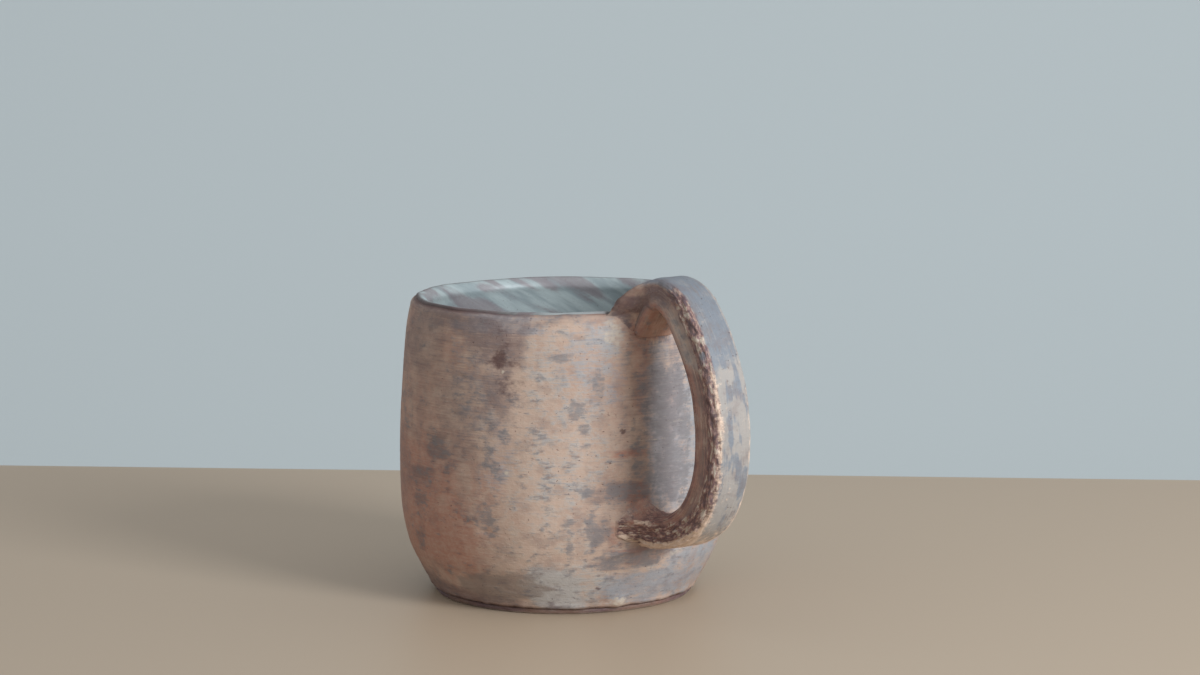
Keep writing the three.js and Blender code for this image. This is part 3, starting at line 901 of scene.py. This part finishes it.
def ragged(tree, name, noises, low, high, strength=1.0):
    """A painted mask whose edge is broken up by noises, each with its own weight."""
    value = mask(tree, name)
    for source, weight in noises:
        value = maths(tree, "ADD", value, muladd(tree, source, 2 * weight, -weight))
    return times(tree, ramp(tree, value, low, high), strength)


def millimetres(tree):
    """The piece's own coordinates, in mm."""
    place = add(tree, "TexCoord").outputs["Object"]
    return add(tree, "VectorMath", {0: place, "Scale": 1000.0}, operation="SCALE").outputs[0]


def flow(tree):
    """Coordinates that follow the way the piece was worked, in mm."""
    return add(tree, "Attribute", attribute_name="flow").outputs["Vector"]


def shader(name):
    """A new material with one empty Principled surface."""
    material = bpy.data.materials.new(name)
    material.use_nodes = True
    tree = material.node_tree
    tree.nodes.clear()
    surface = add(tree, "BsdfPrincipled")
    out = add(tree, "OutputMaterial")
    tree.links.new(surface.outputs[0], out.inputs["Surface"])
    return material, tree, surface


PEACH = (0.465, 0.335, 0.262, 1)
SAND = (0.400, 0.268, 0.205, 1)
TERRACOTTA = (0.370, 0.175, 0.122, 1)
BISCUIT = (0.150, 0.082, 0.058, 1)
CREAM = (0.500, 0.420, 0.335, 1)
# the blue-grey of slip, also used for painted shadow behind and under the handle
SLIP_AND_SHADE_GREY = (0.185, 0.170, 0.172, 1)
PALE_SLIP = (0.268, 0.280, 0.305, 1)
# a whitish veil tone, also used for painted light low on the wall
CHALK_AND_LIGHT = (0.400, 0.385, 0.365, 1)
HANDLE_CHALK = (0.295, 0.285, 0.270, 1)
HANDLE_PALE = (0.150, 0.176, 0.212, 1)
# a mauve-brown for smoke and scratches, also used for painted shadow behind and under the handle
SMOKE_AND_SHADE = (0.155, 0.105, 0.100, 1)
IRON = (0.080, 0.034, 0.030, 1)
OLIVE = (0.250, 0.200, 0.170, 1)
UMBER = (0.102, 0.056, 0.060, 1)
BROWN = (0.290, 0.154, 0.124, 1)
DUSK = (0.113, 0.084, 0.091, 1)
# a bright apricot cream for the handle's crumbs and edge lines, made bright enough to also stand as painted
# bounce light under the strap's lower bend
HANDLE_CREAM_AND_BOUNCE_LIGHT = (0.730, 0.545, 0.415, 1)


def clay(name, line_size, slip_bias=0.0, scratch=1.0, ground=PEACH, shade=SAND, bloom=1.0,
         chalk_and_light_tone=CHALK_AND_LIGHT, pale_tone=PALE_SLIP, cream_and_bounce_tone=CREAM, smoke_and_shade_tone=SMOKE_AND_SHADE, smoke_and_shade_cover=0.75):
    """Unglazed clay under a worn slip, broken up by grain, scrape lines, specks and pin holes."""
    material, tree, surface = shader(name)
    place, worked = millimetres(tree), flow(tree)
    broad = grain(tree, place, (22, 22, 30), 3.0)
    blocks = grain(tree, place, (5.0, 5.0, 3.4), 5.0, 0.6, 3.0)
    mottle = grain(tree, place, (1.5, 1.5, 1.0), 5.0, 0.62, 7.0)
    lines = grain(tree, worked, line_size, 4.0, 0.6, 11.0)
    fine_lines = grain(tree, worked, tuple(s * 0.45 for s in line_size), 2.0, 0.5, 17.0)
    dashes = grain(tree, worked, tuple(max(s * 0.36, 1.0) for s in line_size), 4.0, 0.6, 29.0)
    specks = grain(tree, place, (0.9, 0.9, 0.55), 2.0, 0.5, 23.0)
    drags = grain(tree, place, (7.0, 7.0, 26.0), 4.0, 0.6, 37.0)

    # the clay itself, from sandy to bright, with terracotta where it is bare
    colour = blend(tree, ramp(tree, broad, 0.35, 0.62), shade, ground)
    colour = over(tree, colour, CREAM, ramp(tree, blocks, 0.46, 0.70), 0.40 * bloom)
    ember = ragged(tree, "ember", [(blocks, 0.35), (lines, 0.2)], 0.15, 0.95, 0.92)
    colour = blend(tree, ember, colour, TERRACOTTA)
    colour = over(tree, colour, CREAM, ramp(tree, mottle, 0.38, 0.68), 0.25 * bloom)
    colour = over(tree, colour, SMOKE_AND_SHADE, ramp(tree, drags, 0.50, 0.72), 0.20)

    # veil, film, wash, smoke and slip over the clay, then iron blots; the smoke and slip layers also lay the
    # painted shadow behind and under the handle, and the veil some painted light low on the wall
    covers = {}
    for layer, noises, low, high, strength, tone in (
        ("chalk", [(blocks, 0.6), (lines, 0.4), (mottle, 0.3)], 0.15, 0.85, 0.85, chalk_and_light_tone),
        ("pale", [(blocks, 0.70), (lines, 0.50), (mottle, 0.35)], 0.20, 1.0, 0.82, pale_tone),
        ("wash", [(blocks, 0.5), (mottle, 0.3)], 0.25, 0.9, 0.72, OLIVE),
        ("smoke", [(blocks, 0.50), (lines, 0.30), (mottle, 0.25)], 0.15, 1.10, smoke_and_shade_cover, smoke_and_shade_tone),
    ):
        covers[layer] = ragged(tree, layer, noises, low, high, strength)
        colour = blend(tree, covers[layer], colour, tone)
    clouds = grain(tree, place, (7.0, 7.0, 4.5), 5.0, 0.6, 43.0)
    colour = over(tree, colour, SMOKE_AND_SHADE, ramp(tree, clouds, 0.48, 0.68), 0.30)
    clusters = ramp(tree, maths(tree, "ADD", broad, drags), 0.92, 1.16)
    scatter = muladd(tree, dashes, 0.5, times(tree, blocks, 0.5))
    scatter = ramp(tree, scatter, 0.51, 0.63)
    scatter = times(tree, scatter, muladd(tree, clusters, 0.56, 0.07 + slip_bias))
    colour = blend(tree, scatter, colour, blend(tree, ramp(tree, mottle, 0.4, 0.6), SMOKE_AND_SHADE, SLIP_AND_SHADE_GREY))
    slip_noises = [(blocks, 0.90 + slip_bias), (dashes, 1.10), (mottle, 0.70)]
    slip = ragged(tree, "slip", slip_noises, 0.25, 1.05, 0.70)
    colour = blend(tree, slip, colour, SLIP_AND_SHADE_GREY)
    stain = ragged(tree, "stain", [(mottle, 0.6), (blocks, 0.5)], 0.15, 1.0, 0.8)
    colour = blend(tree, stain, colour, IRON)

    # torn, fibrous clay and crumbs on the handle and its roots
    fibre = mask(tree, "fibre")
    tint = blend(tree, ramp(tree, maths(tree, "ADD", blocks, lines), 0.85, 1.15), UMBER, BROWN)
    colour = over(tree, colour, tint, fibre, 0.85)
    strands = times(tree, ramp(tree, maths(tree, "ADD", fine_lines, blocks), 1.06, 1.20), 0.45)
    colour = over(tree, colour, CREAM, strands, fibre)
    crumbs = grain(tree, worked, (3.0, 1.2, 1.2), 5.0, 0.66, 31.0)
    burr = ragged(tree, "burr", [(blocks, 0.5), (dashes, 0.6)], 0.25, 0.80)
    crumb_tone = blend(tree, ramp(tree, crumbs, 0.42, 0.56), UMBER, BROWN)
    crumb_tone = blend(tree, ramp(tree, crumbs, 0.53, 0.62), crumb_tone, CREAM)
    colour = over(tree, colour, crumb_tone, burr, 0.85)
    # cream grits and edge lines; on the handle also painted bounce light under the strap's lower bend
    cream = ragged(tree, "cream", [(mottle, 0.7), (dashes, 0.4)], 0.30, 0.90, 0.85)
    colour = blend(tree, cream, colour, cream_and_bounce_tone)

    # scrape lines, flecks and pin holes, then the dark rim, the seam and the scuffed foot
    worn = ramp(tree, blocks, 0.40, 0.62, 0.25, 1.0)
    dark_lines = times(tree, ramp(tree, lines, 0.60, 0.76), worn)
    colour = over(tree, colour, SMOKE_AND_SHADE, dark_lines, 0.38 * scratch)
    pale_lines = times(tree, ramp(tree, fine_lines, 0.60, 0.74), 0.24 * scratch)
    colour = blend(tree, pale_lines, colour, CREAM)
    fleck_cover = muladd(tree, clusters, 0.45 * scratch, 0.22 * scratch)
    flecks = times(tree, ramp(tree, dashes, 0.65, 0.74), fleck_cover)
    colour = blend(tree, flecks, colour, SLIP_AND_SHADE_GREY)
    dots = ramp(tree, specks, 0.68, 0.76)
    colour = over(tree, colour, IRON, dots, 0.65)
    for line, cover, tone in (("rim", 0.8, IRON), ("seam", 0.7, IRON), ("scuff", 0.4, CREAM)):
        colour = over(tree, colour, tone, mask(tree, line), cover)
    tree.links.new(colour, surface.inputs["Base Color"])

    rough = muladd(tree, mottle, 0.26, 0.50)
    rough = muladd(tree, covers["pale"], -0.12, rough)
    tree.links.new(rough, surface.inputs["Roughness"])
    surface.inputs["Specular IOR Level"].default_value = 0.40

    height = times(tree, mottle, 0.16)
    for part, rise in (
        (dark_lines, -0.05 * scratch), (lines, 0.07 * scratch), (fine_lines, 0.04 * scratch), (dots, -0.10),
        (flecks, -0.06), (blocks, 0.20), (times(tree, crumbs, burr), 0.48),
        (times(tree, strands, fibre), 0.22),
    ):
        height = muladd(tree, part, rise, height)
    relief = add(tree, "Bump", {"Strength": 0.9, "Distance": MM, "Height": height})
    tree.links.new(relief.outputs[0], surface.inputs["Normal"])
    return material


CELADON = (0.250, 0.292, 0.300, 1)
CELADON_PALE = (0.360, 0.410, 0.408, 1)
MAUVE = (0.205, 0.160, 0.170, 1)
POOL = (0.20, 0.28, 0.27, 1)


def glaze(name):
    """Pale celadon glass with mauve brush strokes, dark where it thins at the edge."""
    material, tree, surface = shader(name)
    place, brushed = millimetres(tree), flow(tree)
    cloud = grain(tree, brushed, (6, 6, 10), 4.0)
    fine = grain(tree, place, (1.2, 1.2, 1.2), 4.0, 0.6, 5.0)
    bristles = grain(tree, brushed, (0.8, 0.8, 6.0), 3.0, 0.6, 13.0)
    specks = grain(tree, place, (0.5, 0.5, 0.5), 2.0, 0.5, 9.0)
    colour = blend(tree, ramp(tree, cloud, 0.36, 0.62), CELADON, CELADON_PALE)
    stroke = ragged(tree, "stroke", [(bristles, 0.45), (fine, 0.3)], 0.0, 1.1, 0.72)
    colour = blend(tree, stroke, colour, MAUVE)
    colour = over(tree, colour, POOL, mask(tree, "pool"), 0.5)
    colour = over(tree, colour, IRON, mask(tree, "rim"), 0.85)
    colour = over(tree, colour, IRON, ramp(tree, specks, 0.68, 0.76), 0.6)
    tree.links.new(colour, surface.inputs["Base Color"])
    rough = muladd(tree, fine, 0.24, 0.34)
    rough = muladd(tree, mask(tree, "rim"), 0.25, rough)
    tree.links.new(rough, surface.inputs["Roughness"])
    surface.inputs["Coat Weight"].default_value = 0.06
    surface.inputs["Coat Roughness"].default_value = 0.30
    height = muladd(tree, cloud, 0.22, times(tree, fine, 0.03))
    relief = add(tree, "Bump", {"Strength": 0.6, "Distance": MM, "Height": height})
    tree.links.new(relief.outputs[0], surface.inputs["Normal"])
    return material


# ---- stage
VIEW_AZIMUTH = 55.0               # around the mug from -Y; chosen, the photo's outlines don't settle it
CAMERA_DISTANCE = 899.8
CAMERA_HEIGHT = 199.2
CAMERA_SIDE = 11.1                # the camera stands a little to the right of the mug's axis
CAMERA_PITCH = 7.756
LENS = 90.0                       # in mm; chosen, the photo fits 98 slightly better and 85 slightly worse
SENSOR = 36.0
TABLE_BEHIND = 193.0              # from the mug's axis to the table's far edge
TABLE_SKEW = 0.069                # the far edge comes nearer to the right
TABLE_HALF_WIDTH = 900.0
TABLE_FRONT = 700.0
WALL_BEHIND = 1150.0              # far enough for views from behind the mug
WALL_HEIGHT = 1500.0
WALL_HALF_WIDTH = 2400.0
TABLE_COLOUR = (0.440, 0.340, 0.245, 1)
WALL_COLOUR = (0.505, 0.552, 0.556, 1)
ROOM_COLOUR = (0.53, 0.55, 0.57, 1)
ROOM_STRENGTH = 1.18
WINDOW_PLACE = (827, 745, 450)    # as seen by the camera: right, toward it and up
WINDOW_AIM = (0, 0, 50)
WINDOW_SIZE = (380, 640)
WINDOW_POWER = 14.2
WINDOW_COLOUR = (0.90, 0.95, 1.0)


def seen_from_camera(right, toward, up):
    """A point given as seen by the camera: to its right, toward it, and up, in mm."""
    turn = math.radians(VIEW_AZIMUTH)
    x = right * math.cos(turn) + toward * math.sin(turn)
    y = right * math.sin(turn) - toward * math.cos(turn)
    return (x * MM, y * MM, up * MM)


def build_camera():
    data = bpy.data.cameras.new("camera")
    data.lens = LENS
    data.sensor_width = SENSOR
    camera = bpy.data.objects.new("camera", data)
    camera.location = seen_from_camera(CAMERA_SIDE, CAMERA_DISTANCE, CAMERA_HEIGHT)
    camera.rotation_euler = (math.radians(90 - CAMERA_PITCH), 0, math.radians(VIEW_AZIMUTH))
    link(camera)
    bpy.context.scene.camera = camera


def area_light(name, place, aim, size, power, colour):
    data = bpy.data.lights.new(name, "AREA")
    data.shape = "RECTANGLE"
    data.size, data.size_y = size[0] * MM, size[1] * MM
    data.energy = power
    data.color = colour
    light = bpy.data.objects.new(name, data)
    light.location = seen_from_camera(*place)
    target = bpy.data.objects.new(name + "_aim", None)
    target.location = seen_from_camera(*aim)
    follow = light.constraints.new("TRACK_TO")
    follow.target = target
    follow.track_axis = "TRACK_NEGATIVE_Z"
    follow.up_axis = "UP_Y"
    for thing in (light, target):
        link(thing)


def stage_plane(name, corners, colour, roughness):
    mesh = bpy.data.meshes.new(name)
    mesh.from_pydata([seen_from_camera(*corner) for corner in corners], [], [(0, 1, 2, 3)])
    plane = bpy.data.objects.new(name, mesh)
    link(plane)
    material, tree, surface = shader(name)
    surface.inputs["Base Color"].default_value = colour
    surface.inputs["Roughness"].default_value = roughness
    plane.data.materials.append(material)


def build_stage():
    w, skew = TABLE_HALF_WIDTH, TABLE_SKEW * TABLE_HALF_WIDTH
    left, right = -TABLE_BEHIND - skew, -TABLE_BEHIND + skew
    table = [(-w, left, 0), (w, right, 0), (w, TABLE_FRONT, 0), (-w, TABLE_FRONT, 0)]
    stage_plane("pale_table", table, TABLE_COLOUR, 0.50)
    low, high, side = -WALL_HEIGHT / 2, WALL_HEIGHT, WALL_HALF_WIDTH
    wall = [(x, -WALL_BEHIND, z) for x, z in ((-side, low), (side, low), (side, high), (-side, high))]
    stage_plane("pale_wall", wall, WALL_COLOUR, 0.9)


def build_light():
    world = bpy.data.worlds.new("room")
    world.use_nodes = True
    back = world.node_tree.nodes["Background"]
    back.inputs["Color"].default_value = ROOM_COLOUR
    back.inputs["Strength"].default_value = ROOM_STRENGTH
    bpy.context.scene.world = world
    bpy.context.scene.view_settings.view_transform = "Standard"
    area_light("window", WINDOW_PLACE, WINDOW_AIM, WINDOW_SIZE, WINDOW_POWER, WINDOW_COLOUR)


# ---- the scene
build_camera()
build_stage()
build_light()

BODY_LINES = (9.0, 9.0, 0.42)     # size of the scrape lines, level around the body
STRAP_LINES = (14.0, 0.5, 0.5)    # and along the strap
HANDLE_TONES = {
    "chalk_and_light_tone": HANDLE_CHALK, "pale_tone": HANDLE_PALE, "cream_and_bounce_tone": HANDLE_CREAM_AND_BOUNCE_LIGHT,
    "smoke_and_shade_tone": DUSK, "smoke_and_shade_cover": 0.92,
}
UPPER_ROOT_AT, LOWER_ROOT_AT = 0.16, 0.865   # fractions of the strap's route where the roots begin

wall_clay = clay("slipped_clay", BODY_LINES)
handle_clay = clay("handle_clay", STRAP_LINES, scratch=1.2, **HANDLE_TONES)
root_clay = clay("smeared_clay", STRAP_LINES, slip_bias=-0.2, scratch=0.8, **HANDLE_TONES)
bare_clay = clay("bare_clay", BODY_LINES, slip_bias=-0.5, scratch=0.6, ground=BISCUIT, shade=UMBER, bloom=0.2)
glass = glaze("celadon_glaze")

build_body_wall(wall_clay)
build_base_slab(bare_clay)
build_interior_glaze(glass)
build_handle_strap(handle_clay)
build_weld("upper_root_of_clay", "upper_handle_weld", root_clay, UPPER_ROOT_AT, UPPER_FOOT, 81)
build_weld("lower_root_of_clay", "lower_handle_weld", root_clay, LOWER_ROOT_AT, LOWER_FOOT, 91)

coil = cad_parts["floor_seam_coil"]
coil.data.materials.clear()
coil.data.materials.append(bare_clay)
